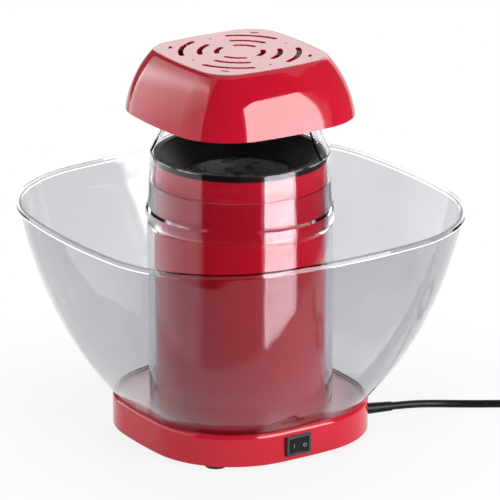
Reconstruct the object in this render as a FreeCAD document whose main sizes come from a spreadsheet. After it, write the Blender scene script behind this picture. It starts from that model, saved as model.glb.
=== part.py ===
"""Hot-air popcorn maker: square base, round tower, lift-off clear bowl and lift-off vented lid.

Millimetres, +Z up.  The origin is on the standing surface, on the axis of the tower.
The front, with the rocker switch, faces -Y.  The mains lead leaves towards +X.
"""
import FreeCAD, Part
import math
import os

import Sketcher

V = FreeCAD.Vector

# Driving dimensions, in millimetres unless the name ends in _angle (degrees) or _count
SIZES = {
    # standing height and base housing
    "foot_height": 3.0,
    "foot_radius": 8.0,
    "foot_stem_radius": 3.0,
    "foot_inset": 10.2,
    "base_half": 89.4,
    "base_corner": 68.9,
    "base_bow": 400.0,
    "base_height": 24.0,
    "base_wall": 2.6,
    "base_edge_round": 3.0,
    "deck_thickness": 2.6,
    "seat_depth": 3.0,
    "air_inlet_radius": 44.0,
    "boss_radius": 4.2,
    "pilot_radius": 1.4,
    "screw_radius": 1.5,
    "screw_head_radius": 3.0,
    "screw_head_height": 2.0,
    "screw_hole_radius": 1.8,
    "cover_screw_inset": 28.1,
    "cover_screw_bite": 9.0,
    "cover_thickness": 2.4,
    "cover_gap": 0.3,
    "grille_radius": 12.0,
    "grille_step": 8.0,
    "grille_slot": 4.0,
    "grille_half_span_angle": 33.0,
    # bowl
    "bowl_clearance": 0.4,
    "seat_gap": 0.3,
    "seat_land": 4.4,
    "bowl_foot_height": 3.0,
    "bowl_heel_step": 1.9,
    "bowl_knee_half": 134.4,
    "bowl_knee_height": 82.4,
    "bowl_rim_half": 151.2,
    "bowl_rim_corner": 102.7,
    "bowl_rim_height": 175.6,
    "bowl_bow": 456.0,
    "bowl_wall": 2.2,
    "bowl_floor": 2.4,
    "bead_width": 1.4,
    "bead_height": 3.2,
    "tube_radius": 69.2,
    "tube_wall": 2.0,
    "shoulder_height": 166.0,
    "spigot_radius": 66.3,
    "spigot_wall": 1.5,
    "spigot_height": 30.0,
    # tower, collar and popping chamber
    "tower_radius": 64.0,
    "tower_wall": 2.4,
    "tower_top": 212.0,
    "tower_boss_circle": 58.6,
    "tower_boss_height": 12.0,
    "tower_screw_bite": 6.0,
    "collar_band": 4.5,
    "collar_rim": 4.0,
    "collar_wall": 2.0,
    "collar_skirt": 6.0,
    "fit_gap": 0.3,
    "chamber_radius": 42.0,
    "chamber_wall": 1.0,
    "chamber_bottom": 112.0,
    "chamber_top": 198.0,
    "chamber_flange": 48.6,
    "chamber_floor_rim": 8.0,
    "louvre_count": 16,
    "louvre_width": 2.0,
    "louvre_height": 9.0,
    "louvre_sill": 5.0,
    "louvre_lean": 3.0,
    # hot-air path
    "duct_radius": 50.0,
    "duct_wall": 0.8,
    "duct_lip": 2.0,
    "shroud_radius": 48.0,
    "shroud_wall": 2.0,
    "shroud_top": 84.0,
    "shroud_flange": 52.0,
    "spider_height": 56.0,
    "spider_thickness": 3.0,
    "spider_hub": 17.0,
    "spider_arm": 8.0,
    "former_thickness": 1.2,
    "former_half": 33.6,
    "former_foot": 47.0,
    "former_foot_height": 3.0,
    "former_height": 24.0,
    "element_radius": 36.0,
    "element_tube": 2.0,
    "element_pitch": 5.0,
    "element_turns_count": 3,
    "element_foot_gap": 0.4,
    # motor and fan
    "motor_radius": 13.8,
    "motor_length": 36.0,
    "motor_nose_radius": 5.0,
    "motor_nose": 4.2,
    "motor_screw_circle": 8.0,
    "motor_screw_head_radius": 2.2,
    "motor_screw_head_height": 1.4,
    "motor_chamfer": 3.0,
    "shaft_radius": 1.5,
    "shaft_running_gap": 0.04,
    "shaft_depth": 26.0,
    "shaft_reach": 19.0,
    "shaft_end_gap": 1.0,
    "fan_hub_radius": 7.0,
    "fan_height": 12.0,
    "fan_gap": 2.0,
    "fan_hub_chamfer": 2.0,
    "blade_margin": 1.0,
    "fan_tip_gap": 1.6,
    "blade_count": 9,
    "blade_thickness": 1.4,
    "blade_lean": 6.0,
    "board_radius": 12.0,
    "board_thickness": 1.6,
    "board_gap": 0.3,
    "diode_width": 3.0,
    "diode_length": 5.0,
    "diode_height": 2.4,
    "diode_spacing_x": 9.0,
    "diode_spacing_y": 13.0,
    # thermal guards
    "guard_height": 150.0,
    "thermostat_radius": 7.6,
    "thermostat_depth": 6.0,
    "fuse_radius": 2.0,
    "fuse_length": 12.0,
    # switch
    "switch_height": 14.6,
    "switch_offset": -7.4,
    "switch_width": 21.0,
    "switch_tall": 15.0,
    "switch_flange": 2.0,
    "switch_frame": 2.0,
    "switch_body_depth": 17.0,
    "switch_pocket_depth": 9.0,
    "switch_cutout_gap": 0.2,
    "rocker_half": 7.5,
    "rocker_gap": 0.35,
    "rocker_proud": 1.6,
    "rocker_valley": 0.9,
    "rocker_pivot_depth": 3.2,
    "rocker_pin_radius": 1.2,
    "rocker_pin_gap": 0.05,
    "rocker_swing_angle": 20.0,
    "terminal_width": 4.8,
    "terminal_length": 7.0,
    "terminal_thickness": 0.8,
    "terminal_spacing": 9.0,
    # chute sleeve
    "sleeve_wall": 1.8,
    "sleeve_ring_radius": 70.4,
    "sleeve_ring_height": 10.0,
    "sleeve_ring_chamfer": 1.5,
    "sleeve_top_radius": 66.8,
    "window_sill": 217.0,
    "post_half_angle": 13.0,
    "post_waist_radius": 61.0,
    "post_waist_height": 229.0,
    "post_neck_radius": 54.4,
    "tab_width": 5.2,
    "tab_thickness": 1.8,
    # lid
    "lid_half": 75.8,
    "lid_corner": 47.1,
    "lid_bow": 314.0,
    "lid_shoulder_inset": 19.0,
    "lid_edge_inset": 23.1,
    "lid_bottom": 248.5,
    "lid_top": 293.0,
    "lid_edge_drop": 2.3,
    "lid_side_curve": 82.0,
    "lid_edge_curve": 5.6,
    "lid_wall": 2.2,
    "lid_roof_inset": 4.0,
    "lid_roof_lap": 2.0,
    "vent_width": 4.0,
    "vent_outer": 43.7,
    "vent_middle": 29.8,
    "vent_inner": 17.2,
    "vent_span_angle": 50.0,
    "hook_slot_gap": 0.6,
    "hook_circle": 52.5,
    "drip_hole_radius": 1.0,
    "drip_hole_circle": 40.7,
    # mains lead
    "cord_radius": 3.0,
    "cord_exit_angle": -17.0,
    "cord_exit_height": 7.4,
    "gland_radius": 4.1,
    "gland_flange": 4.3,
    "gland_flange_depth": 1.6,
    "gland_length": 22.0,
    "gland_tip": 3.6,
    "gland_tail": 6.0,
    "gland_hole_gap": 0.2,
    "coil_middle": 33.0,
    "coil_step": 7.6,
    "coil_lift": 4.3,
    "coil_layer": 6.5,
    "coil_tail": 44.0,
    "tie_width": 8.0,
    "tie_wall": 0.8,
    "tie_gap": 0.4,
    "plug_length": 38.0,
    "plug_half_width": 18.0,
    "plug_half_thick": 9.0,
    "plug_neck": 14.0,
    "plug_neck_radius": 5.0,
    "plug_neck_wall": 0.6,
    "plug_shoulder": 17.1,
    "plug_edge_round": 3.0,
    "pin_radius": 2.4,
    "pin_length": 19.0,
    "pin_spacing": 19.0,
}

# The lead's free route between the gland and the coil, chosen along the floor
CORD_ROUTE = [
    (139.5, -52.4, 4.6),
    (157.5, -60.2, 3.1),
    (172.8, -70.4, 3.1),
    (189.5, -81.4, 3.3),
]
# Straight runs out of the gland and into the coil
CORD_LEAD_OUT = 15.0
CORD_LEAD_IN = 26.0
COIL_CENTRE = (254.6, -75.1)
COIL_START_ANGLE = 237.0
TURNS_IN = 2.0
TURNS_OUT = 1.5


# Radius of a slot's round end as a share of its width, just over a half circle's
SLOT_END = 0.52


class Size(float):
    """A number that remembers the sheet expression it comes from."""

    def __new__(cls, value, text):
        made = float.__new__(cls, value)
        made.text = text
        return made

    def __add__(self, other):
        return Size(float(self) + float(other), f"({self.text} + {text_of(other)})")

    def __radd__(self, other):
        return Size(float(other) + float(self), f"({text_of(other)} + {self.text})")

    def __sub__(self, other):
        return Size(float(self) - float(other), f"({self.text} - {text_of(other)})")

    def __rsub__(self, other):
        return Size(float(other) - float(self), f"({text_of(other)} - {self.text})")

    def __mul__(self, other):
        return Size(float(self) * float(other), f"({self.text} * {text_of(other)})")

    def __rmul__(self, other):
        return Size(float(other) * float(self), f"({text_of(other)} * {self.text})")

    def __truediv__(self, other):
        return Size(float(self) / float(other), f"({self.text} / {text_of(other)})")

    def __neg__(self):
        return Size(-float(self), f"(-1 * {self.text})")


def text_of(value):
    return value.text if isinstance(value, Size) else f"({float(value):.9g})"


def root(value):
    return Size(math.sqrt(value), f"sqrt({text_of(value)})")


def cosine(angle):
    return Size(math.cos(math.radians(angle)), f"cos({text_of(angle)} * 1 deg)")


def sine(angle):
    return Size(math.sin(math.radians(angle)), f"sin({text_of(angle)} * 1 deg)")


doc = FreeCAD.newDocument("popcorn_maker")
sheet = doc.addObject("Spreadsheet::Sheet", "sizes")
for row, (alias, number) in enumerate(SIZES.items(), start=1):
    sheet.set(f"A{row}", alias)
    sheet.set(f"B{row}", str(number))
    sheet.setAlias(f"B{row}", alias)
doc.recompute()


class Driving:
    """Gives each cell of the sheet as a Size, by its alias."""

    def __getattr__(self, alias):
        return Size(SIZES[alias], f"sizes.{alias}")


D = Driving()
nodes = {}

# Levels and radii that several pieces share
base_bottom = D.foot_height
base_top = D.foot_height + D.base_height
deck_top = base_top - D.seat_depth
deck_under = deck_top - D.deck_thickness
cover_top = base_bottom + D.cover_thickness
tower_bore = D.tower_radius - D.tower_wall
collar_top = D.tower_top + D.collar_band
tube_bore = D.tube_radius - D.tube_wall
spigot_bore = D.spigot_radius - D.spigot_wall
spigot_top = D.shoulder_height + D.spigot_height
sleeve_bore = D.spigot_radius + D.fit_gap
lid_ceiling = D.lid_top - D.lid_wall
bowl_bottom = deck_top + D.seat_gap
fan_floor = D.spider_height + D.spider_thickness + D.fan_gap
switch_front = -(D.base_half + D.switch_flange + D.switch_cutout_gap)
rocker_axis_y = switch_front + D.rocker_pivot_depth
diagonal = math.sqrt(0.5)
seat_half = D.base_half - D.seat_land
seat_corner = D.base_corner - D.seat_land
bowl_foot_half = seat_half - D.bowl_clearance
bowl_foot_corner = seat_corner - D.bowl_clearance


# Document helpers

def bind(obj, prop, value):
    """Ties a property to the sheet, or sets a plain number."""
    if isinstance(value, Size):
        obj.setExpression(prop, value.text)
    else:
        obj.setExpression(prop, f"{float(value):.9g}")


def new_body(label):
    body = doc.addObject("PartDesign::Body", label)
    body.Label = label
    nodes[label] = body
    return body


def plane_of(body, role):
    return next(f for f in body.Origin.OriginFeatures if f.Role == role)


def new_sketch(body, name, role="XY_Plane", lift=0.0):
    sketch = body.newObject("Sketcher::SketchObject", name)
    sketch.AttachmentSupport = [(plane_of(body, role), "")]
    sketch.MapMode = "FlatFace"
    if isinstance(lift, Size) or lift:
        bind(sketch, "AttachmentOffset.Base.z", lift)
    return sketch


def fix(sketch, constraints):
    """Adds constraints given as (kind, places, value) and ties their values to the sheet."""
    made = []
    for kind, places, value in constraints:
        extra = [] if value is None else [float(value)]
        made.append(Sketcher.Constraint(kind, *places, *extra))
    first = sketch.ConstraintCount
    sketch.addConstraint(made)
    for offset, (kind, places, value) in enumerate(constraints):
        if isinstance(value, Size):
            sketch.setExpression(f"Constraints[{first + offset}]", value.text)


def place_point(geometry, end, x, y):
    """Constraints that hold one end of a curve at x, y."""
    held = []
    for kind, axis, value in (("DistanceX", -2, x), ("DistanceY", -1, y)):
        if abs(float(value)) < 1e-9:
            held.append(("PointOnObject", (geometry, end, axis), None))
        else:
            held.append((kind, (-1, 1, geometry, end), value))
    return held


def arc_through(a, b, radius):
    """An arc from a to b that bulges to the right of the way from a to b, or left if radius < 0."""
    chord = b - a
    half = chord.Length / 2
    reach = math.sqrt(max(radius * radius - half * half, 0.0))
    side = V(chord.y, -chord.x, 0).normalize()
    if radius < 0:
        side = side * -1
    bulge = abs(radius) - reach
    return Part.Arc(a, (a + b) * 0.5 + side * bulge, b)


def outline(sketch, corners):
    """A closed outline: each entry is (x, y) or (x, y, radius of the arc that leads to the next)."""
    points = [V(float(c[0]), float(c[1]), 0) for c in corners]
    first = sketch.GeometryCount
    held = []
    for i, corner in enumerate(corners):
        a, b = points[i], points[(i + 1) % len(points)]
        if len(corner) == 3:
            sketch.addGeometry(arc_through(a, b, float(corner[2])))
        else:
            sketch.addGeometry(Part.LineSegment(a, b))
    for i, corner in enumerate(corners):
        geometry = first + i
        arc = len(corner) == 3
        flipped = arc and float(corner[2]) < 0
        start = 2 if flipped else 1
        held += place_point(geometry, start, corner[0], corner[1])
        follower = first + (i + 1) % len(corners)
        next_corner = corners[(i + 1) % len(corners)]
        next_start = 2 if len(next_corner) == 3 and float(next_corner[2]) < 0 else 1
        held.append(("Coincident", (geometry, 3 - start, follower, next_start), None))
        if arc:
            value = corner[2] if not flipped else -corner[2]
            held.append(("Radius", (geometry,), value))
    fix(sketch, held)


def rectangle(sketch, x0, y0, x1, y1):
    outline(sketch, [(x0, y0), (x1, y0), (x1, y1), (x0, y1)])


def circle(sketch, radius, x=0.0, y=0.0):
    geometry = sketch.GeometryCount
    sketch.addGeometry(Part.Circle(V(float(x), float(y), 0), V(0, 0, 1), float(radius)))
    fix(sketch, place_point(geometry, 3, x, y) + [("Radius", (geometry,), radius)])


def corner_offset(half, corner, bow):
    """Distance along X and Y to the corner arcs' centres of a square with bowed sides."""
    back = half - bow
    reach = bow - corner
    return (back + root(2 * (reach * reach) - back * back)) / 2


def bowed_square(sketch, half, corner, bow):
    """A rounded square whose four sides are shallow arcs, tangent to the four corner arcs."""
    offset = corner_offset(half, corner, bow)
    back = half - bow
    reach = bow - corner
    touch_x = back + bow * (offset - back) / reach
    touch_y = bow * offset / reach
    corners = []
    for turn in range(4):
        for x, y, radius in ((touch_x, -touch_y, bow), (touch_x, touch_y, corner)):
            for step in range(turn):
                x, y = -y, x
            corners.append((x, y, radius))
    outline(sketch, corners)


def pad(body, sketch, length, name, reverse=False):
    feature = body.newObject("PartDesign::Pad", name)
    feature.Profile = sketch
    feature.Reversed = reverse
    bind(feature, "Length", length)
    return feature


def pocket(body, sketch, length, name, upward=False):
    """Cuts downwards along the sketch's normal, or upwards where the solid lies above."""
    feature = body.newObject("PartDesign::Pocket", name)
    feature.Profile = sketch
    feature.Reversed = upward
    bind(feature, "Length", length)
    return feature


def revolve(body, sketch, name):
    feature = body.newObject("PartDesign::Revolution", name)
    feature.Profile = sketch
    feature.ReferenceAxis = (sketch, ["V_Axis"])
    feature.Angle = 360.0
    return feature


def polar(body, feature, count, name):
    pattern = body.newObject("PartDesign::PolarPattern", name)
    pattern.Originals = [feature]
    pattern.Axis = (plane_of(body, "Z_Axis"), [""])
    pattern.Angle = 360.0
    bind(pattern, "Occurrences", count)
    body.Tip = pattern
    return pattern


def loft(body, sketches, name, cut=False):
    kind = "PartDesign::SubtractiveLoft" if cut else "PartDesign::AdditiveLoft"
    feature = body.newObject(kind, name)
    feature.Profile = sketches[0]
    feature.Sections = sketches[1:]
    return feature


def turned(label, profile):
    """A body of revolution about Z from (radius, height) corners."""
    body = new_body(label)
    sketch = new_sketch(body, f"{label}_profile", "XZ_Plane")
    outline(sketch, profile)
    revolve(body, sketch, f"{label}_turn")
    return body


def put(obj, x=0.0, y=0.0, z=0.0):
    for name, value in (("x", x), ("y", y), ("z", z)):
        bind(obj, f"Placement.Base.{name}", value)


def cylinder(name, radius, height, x=0.0, y=0.0, z=0.0):
    made = doc.addObject("Part::Cylinder", name)
    bind(made, "Radius", radius)
    bind(made, "Height", height)
    put(made, x, y, z)
    return made


def box(name, low, size):
    made = doc.addObject("Part::Box", name)
    for prop, value in zip(("Length", "Width", "Height"), size):
        bind(made, prop, value)
    put(made, *low)
    return made


def fuse(label, shapes):
    made = doc.addObject("Part::MultiFuse", label)
    made.Shapes = shapes
    made.Label = label
    return made


def group(label, shapes):
    """One node that holds several separate solids."""
    made = doc.addObject("Part::Compound", label)
    made.Links = shapes
    made.Label = label
    nodes[label] = made
    return made


def keep(label, obj):
    obj.Label = label
    nodes[label] = obj
    return obj


def four_corners(circle_radius):
    """The four diagonal places on a circle about the tower's axis."""
    for sx, sy in ((1, 1), (-1, 1), (-1, -1), (1, -1)):
        yield circle_radius * (sx * diagonal), circle_radius * (sy * diagonal)


def four_sides(circle_radius):
    """The four places on a circle about the tower's axis that face the sides."""
    for sx, sy in ((1, 0), (0, 1), (-1, 0), (0, -1)):
        yield circle_radius * sx, circle_radius * sy


def base_reach():
    """How far the base's outline reaches along its diagonals."""
    return corner_offset(D.base_half, D.base_corner, D.base_bow) / diagonal + D.base_corner


def screw(name, x, y, seat, length):
    """A pan-head screw that points up, its head under the seat level."""
    head = cylinder(f"{name}_head", D.screw_head_radius, D.screw_head_height, x, y,
                    seat - D.screw_head_height)
    shank = cylinder(f"{name}_shank", D.screw_radius - D.fit_gap / 2, length, x, y, seat)
    return fuse(name, [head, shank])


# Base: housing, cover, feet and screws

def make_base_housing():
    body = new_body("base_housing")
    shell = new_sketch(body, "base_outline", lift=base_bottom)
    bowed_square(shell, D.base_half, D.base_corner, D.base_bow)
    block = pad(body, shell, D.base_height, "base_block")
    doc.recompute()
    rim = body.newObject("PartDesign::Fillet", "base_top_round")
    rim.Base = (block, top_edges(block.Shape, float(base_top)))
    bind(rim, "Radius", D.base_edge_round)
    doc.recompute()
    hollow = new_sketch(body, "base_hollow", lift=base_bottom)
    inner = D.base_half - D.base_wall
    bowed_square(hollow, inner, D.base_corner - D.base_wall, D.base_bow - D.base_wall)
    pocket(body, hollow, D.base_height - D.seat_depth - D.deck_thickness, "base_inside", True)
    seat = new_sketch(body, "bowl_seat", lift=base_top)
    bowed_square(seat, seat_half, seat_corner,
                 D.bowl_bow + D.bowl_clearance)
    pocket(body, seat, D.seat_depth, "bowl_seat_recess")
    inlet = new_sketch(body, "air_inlet", lift=deck_top)
    circle(inlet, D.air_inlet_radius)
    pocket(body, inlet, D.deck_thickness, "air_inlet_hole")
    bosses = new_sketch(body, "cover_bosses", lift=deck_under)
    for x, y in four_corners(base_reach() - D.cover_screw_inset):
        circle(bosses, D.boss_radius, x, y)
    pad(body, bosses, deck_under - cover_top, "cover_boss_posts", True)
    pilots = new_sketch(body, "cover_pilots", lift=cover_top)
    for x, y in four_corners(base_reach() - D.cover_screw_inset):
        circle(pilots, D.pilot_radius, x, y)
    pocket(body, pilots, deck_under - cover_top, "cover_pilot_holes", True)
    passes = new_sketch(body, "tower_screw_holes", lift=deck_top)
    for x, y in four_sides(D.tower_boss_circle):
        circle(passes, D.screw_hole_radius, x, y)
    pocket(body, passes, D.deck_thickness, "tower_screw_passes")
    window = new_sketch(body, "switch_cutout", "XZ_Plane", D.base_half + D.base_wall)
    wide = D.switch_width / 2 - D.switch_frame / 2 + D.switch_cutout_gap
    tall = D.switch_tall / 2 - D.switch_frame / 2 + D.switch_cutout_gap
    middle = D.switch_offset
    rectangle(window, middle - wide, D.switch_height - tall, middle + wide, D.switch_height + tall)
    pocket(body, window, 3 * D.base_wall, "switch_window")
    exit_hole = body.newObject("PartDesign::SubtractiveCylinder", "cord_exit_hole")
    bind(exit_hole, "Radius", D.gland_radius + D.gland_hole_gap)
    bind(exit_hole, "Height", 4 * D.base_wall)
    point_along_exit(exit_hole, -2 * D.base_wall)
    return body


def top_edges(shape, level):
    """Names of the edges that lie wholly at one level."""
    names = []
    for index, edge in enumerate(shape.Edges, start=1):
        if all(abs(v.Z - level) < 1e-4 for v in edge.Vertexes):
            names.append(f"Edge{index}")
    return names


def exit_point(reach):
    """A place on the lead's exit line, at a distance outside the base's wall."""
    offset = corner_offset(D.base_half, D.base_corner, D.base_bow)
    x = offset + (D.base_corner + reach) * cosine(D.cord_exit_angle)
    y = (D.base_corner + reach) * sine(D.cord_exit_angle) - offset
    return x, y, D.cord_exit_height


def point_along_exit(obj, reach):
    """Lays an upright solid of revolution along the lead's exit line, starting at a reach."""
    turn = FreeCAD.Rotation(V(0, 0, 1), SIZES["cord_exit_angle"])
    lay = FreeCAD.Rotation(V(0, 1, 0), 90)
    obj.Placement = FreeCAD.Placement(V(0, 0, 0), turn * lay)
    put(obj, *exit_point(reach))


def make_bottom_cover():
    body = new_body("bottom_cover")
    plate = new_sketch(body, "cover_outline", lift=base_bottom)
    inset = D.base_wall + D.cover_gap
    bowed_square(plate, D.base_half - inset, D.base_corner - inset, D.base_bow - inset)
    for x, y in four_corners(base_reach() - D.cover_screw_inset):
        circle(plate, D.screw_hole_radius, x, y)
    for x, y in four_corners(base_reach() - D.foot_inset):
        circle(plate, D.foot_stem_radius + D.fit_gap, x, y)
    pad(body, plate, D.cover_thickness, "cover_plate")
    grille = new_sketch(body, "grille_slots", lift=base_bottom)
    for ring in range(4):
        middle = D.grille_radius + ring * D.grille_step
        arc_slot(grille, middle, D.grille_slot, 45.0, D.grille_half_span_angle)
    slots = pocket(body, grille, D.cover_thickness, "grille_cut", True)
    polar(body, slots, 4, "grille_pattern")
    notch = body.newObject("PartDesign::SubtractiveCylinder", "cord_notch")
    bind(notch, "Radius", D.gland_radius + D.fit_gap)
    bind(notch, "Height", D.gland_tail + 2 * D.fit_gap)
    point_along_exit(notch, -(D.gland_tail + D.fit_gap))
    return body


def arc_slot(sketch, middle, width, centre_angle, half_span):
    """A slot along a circle about the origin, with round ends."""
    low, high = centre_angle - half_span, centre_angle + half_span
    near, far = middle - width / 2, middle + width / 2
    corners = [
        (far * cosine(low), far * sine(low), far),
        (far * cosine(high), far * sine(high), width * SLOT_END),
        (near * cosine(high), near * sine(high), -near),
        (near * cosine(low), near * sine(low), width * SLOT_END),
    ]
    outline(sketch, corners)


def make_feet():
    feet = []
    for number, (x, y) in enumerate(four_corners(base_reach() - D.foot_inset), start=1):
        pad_part = cylinder(f"foot_pad_{number}", D.foot_radius, D.foot_height, x, y, 0.0)
        stem = cylinder(f"foot_stem_{number}", D.foot_stem_radius, D.cover_thickness, x, y, D.foot_height)
        feet.append(fuse(f"foot_{number}", [pad_part, stem]))
    return group("rubber_feet", feet)


def make_cover_screws():
    made = []
    for number, (x, y) in enumerate(four_corners(base_reach() - D.cover_screw_inset), start=1):
        length = D.cover_thickness + D.cover_screw_bite
        made.append(screw(f"cover_screw_{number}", x, y, base_bottom, length))
    return group("cover_screws", made)


# Tower, collar and hot-air path

def make_tower():
    body = turned("tower_casing", [
        (D.tower_radius, deck_top), (D.tower_radius, D.tower_top),
        (tower_bore, D.tower_top), (tower_bore, deck_top)])
    bosses = new_sketch(body, "tower_bosses", lift=deck_top)
    for x, y in four_sides(D.tower_boss_circle):
        circle(bosses, D.boss_radius + D.fit_gap, x, y)
    pad(body, bosses, D.tower_boss_height, "tower_boss_posts")
    pilots = new_sketch(body, "tower_pilots", lift=deck_top)
    for x, y in four_sides(D.tower_boss_circle):
        circle(pilots, D.pilot_radius, x, y)
    pocket(body, pilots, D.tower_boss_height - 2 * D.pilot_radius, "tower_pilot_holes", True)
    return body


def make_tower_screws():
    made = []
    for number, (x, y) in enumerate(four_sides(D.tower_boss_circle), start=1):
        made.append(screw(f"tower_screw_{number}", x, y, deck_under, D.deck_thickness + D.tower_screw_bite))
    return group("tower_screws", made)


def make_collar():
    skirt = tower_bore - D.fit_gap
    rim = D.tower_radius - D.collar_rim
    mouth = D.chamber_radius + D.fit_gap
    seat = D.chamber_top + D.fit_gap
    body = turned("chamber_collar", [
        (D.tower_radius, D.tower_top), (D.tower_radius, collar_top), (rim, collar_top),
        (mouth, seat + D.collar_wall), (mouth, seat), (mouth + 3 * D.collar_wall, seat),
        (rim - D.collar_wall / 2, D.tower_top - D.collar_wall),
        (rim - D.collar_wall / 2, D.tower_top - D.collar_skirt),
        (skirt, D.tower_top - D.collar_skirt), (skirt, D.tower_top)])
    return body


def make_chamber():
    bore = D.chamber_radius - D.chamber_wall
    dome = D.chamber_bottom + 3 * D.chamber_wall
    body = turned("popping_chamber", [
        (0.0, dome), (D.chamber_radius - D.chamber_floor_rim, D.chamber_bottom),
        (D.chamber_radius, D.chamber_bottom),
        (D.chamber_radius, D.chamber_top - D.chamber_wall),
        (D.chamber_flange, D.chamber_top - D.chamber_wall), (D.chamber_flange, D.chamber_top),
        (bore, D.chamber_top), (bore, D.chamber_bottom + D.chamber_wall),
        (D.chamber_radius - D.chamber_floor_rim, D.chamber_bottom + D.chamber_wall),
        (0.0, dome + D.chamber_wall)])
    slot = new_sketch(body, "louvre", "YZ_Plane", bore - D.chamber_wall)
    low = D.chamber_bottom + D.louvre_sill
    lean = D.louvre_lean
    half = D.louvre_width / 2
    outline(slot, [(-half - lean, low), (half - lean, low),
                   (half + lean, low + D.louvre_height), (lean - half, low + D.louvre_height)])
    first = pocket(body, slot, 4 * D.chamber_wall, "louvre_cut", True)
    polar(body, first, D.louvre_count, "louvre_ring")
    return body


def make_duct():
    bore = D.duct_radius - D.duct_wall
    lip = D.shroud_radius - D.shroud_wall - D.duct_lip
    top = D.chamber_top - D.chamber_wall
    return turned("heater_duct", [
        (D.duct_radius, D.shroud_top), (D.duct_radius, top),
        (D.chamber_radius + D.fit_gap, top), (D.chamber_radius + D.fit_gap, top - D.duct_wall),
        (bore, top - D.duct_wall), (bore, D.shroud_top + D.duct_wall),
        (lip, D.shroud_top + D.duct_wall), (lip, D.shroud_top)])


def make_shroud():
    bore = D.shroud_radius - D.shroud_wall
    flange_top = deck_top + D.shroud_wall
    body = turned("fan_shroud", [
        (D.shroud_radius, flange_top), (D.shroud_radius, D.shroud_top), (bore, D.shroud_top),
        (bore, deck_top), (D.shroud_flange, deck_top), (D.shroud_flange, flange_top)])
    hub = new_sketch(body, "spider_hub", lift=D.spider_height)
    circle(hub, D.spider_hub)
    pad(body, hub, D.spider_thickness, "spider_plate")
    arm = new_sketch(body, "spider_arm", lift=D.spider_height)
    rectangle(arm, D.spider_hub - D.spider_thickness, -D.spider_arm / 2,
              D.shroud_radius - D.shroud_wall / 2, D.spider_arm / 2)
    first = pad(body, arm, D.spider_thickness, "spider_arm_pad")
    polar(body, first, 3, "spider_arms")
    bores = new_sketch(body, "motor_holes", lift=D.spider_height)
    circle(bores, D.motor_nose_radius + D.fit_gap)
    for side in (1, -1):
        circle(bores, D.pilot_radius, D.motor_screw_circle * side, 0.0)
    pocket(body, bores, D.spider_thickness, "motor_nose_hole", True)
    return body


def make_heater_former():
    low = D.shroud_top + D.duct_wall
    half_plate = D.former_thickness / 2
    plates = []
    for name, along_x in (("former_x", True), ("former_y", False)):
        for part, half, height in (("foot", D.former_foot, D.former_foot_height),
                                   ("blade", D.former_half, D.former_height)):
            if along_x:
                corner, span = (-half, -half_plate, low), (2 * half, D.former_thickness, height)
            else:
                corner, span = (-half_plate, -half, low), (D.former_thickness, 2 * half, height)
            plates.append(box(f"{name}_{part}", corner, span))
    return keep("heater_former", fuse("heater_former", plates))


def make_motor():
    top = D.spider_height
    bore = D.shaft_radius + D.shaft_running_gap
    floor = top - D.motor_length
    nose_top = top + D.motor_nose
    shaft_hole = top - D.shaft_depth - D.shaft_end_gap
    body = turned("motor", [
        (0.0, floor), (D.motor_radius - D.motor_chamfer, floor), (D.motor_radius, floor + D.motor_chamfer),
        (D.motor_radius, top), (D.motor_nose_radius, top), (D.motor_nose_radius, nose_top),
        (bore, nose_top), (bore, shaft_hole), (0.0, shaft_hole)])
    return body


def make_motor_screws():
    made = []
    for number, side in enumerate((1, -1), start=1):
        x = D.motor_screw_circle * side
        seat = D.spider_height + D.spider_thickness
        head = cylinder(f"motor_screw_head_{number}", D.motor_screw_head_radius,
                        D.motor_screw_head_height, x, 0.0, seat)
        shank = cylinder(f"motor_screw_shank_{number}", D.pilot_radius - D.fit_gap / 2,
                         D.spider_thickness, x, 0.0, D.spider_height)
        made.append(fuse(f"motor_screw_{number}", [head, shank]))
    return group("motor_screws", made)


def make_shaft():
    low = D.spider_height - D.shaft_depth
    made = cylinder("motor_shaft", D.shaft_radius, D.shaft_depth + D.shaft_reach, 0.0, 0.0, low)
    return keep("motor_shaft", made)


def make_fan():
    low = fan_floor
    high = low + D.fan_height
    body = turned("fan_impeller", [
        (D.shaft_radius, low), (D.fan_hub_radius, low), (D.fan_hub_radius, high - D.fan_hub_chamfer),
        (D.fan_hub_radius - D.fan_hub_chamfer, high), (D.shaft_radius, high)])
    tip = D.shroud_radius - D.shroud_wall - D.fan_tip_gap
    blade = new_sketch(body, "fan_blade", "YZ_Plane", D.fan_hub_radius - D.blade_margin)
    half = D.blade_thickness / 2
    bottom, top = low + D.blade_margin, high - D.blade_margin
    outline(blade, [(-D.blade_lean - half, bottom), (half - D.blade_lean, bottom),
                    (D.blade_lean + half, top), (D.blade_lean - half, top)])
    first = pad(body, blade, tip - D.fan_hub_radius, "fan_blade_pad")
    polar(body, first, D.blade_count, "fan_blades")
    return body


def make_board():
    top = D.spider_height - D.motor_length - D.board_gap
    low = top - D.board_thickness
    plate = cylinder("board_plate", D.board_radius, D.board_thickness, 0.0, 0.0, low)
    diodes = []
    for number, (sx, sy) in enumerate(((1, 1), (1, -1), (-1, 1), (-1, -1)), start=1):
        x = D.diode_spacing_x / 2 * sx - D.diode_width / 2
        y = D.diode_spacing_y / 2 * sy - D.diode_length / 2
        diodes.append(box(f"diode_{number}", (x, y, low - D.diode_height),
                          (D.diode_width, D.diode_length, D.diode_height)))
    return keep("rectifier_board", fuse("rectifier_board", [plate] + diodes))


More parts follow.
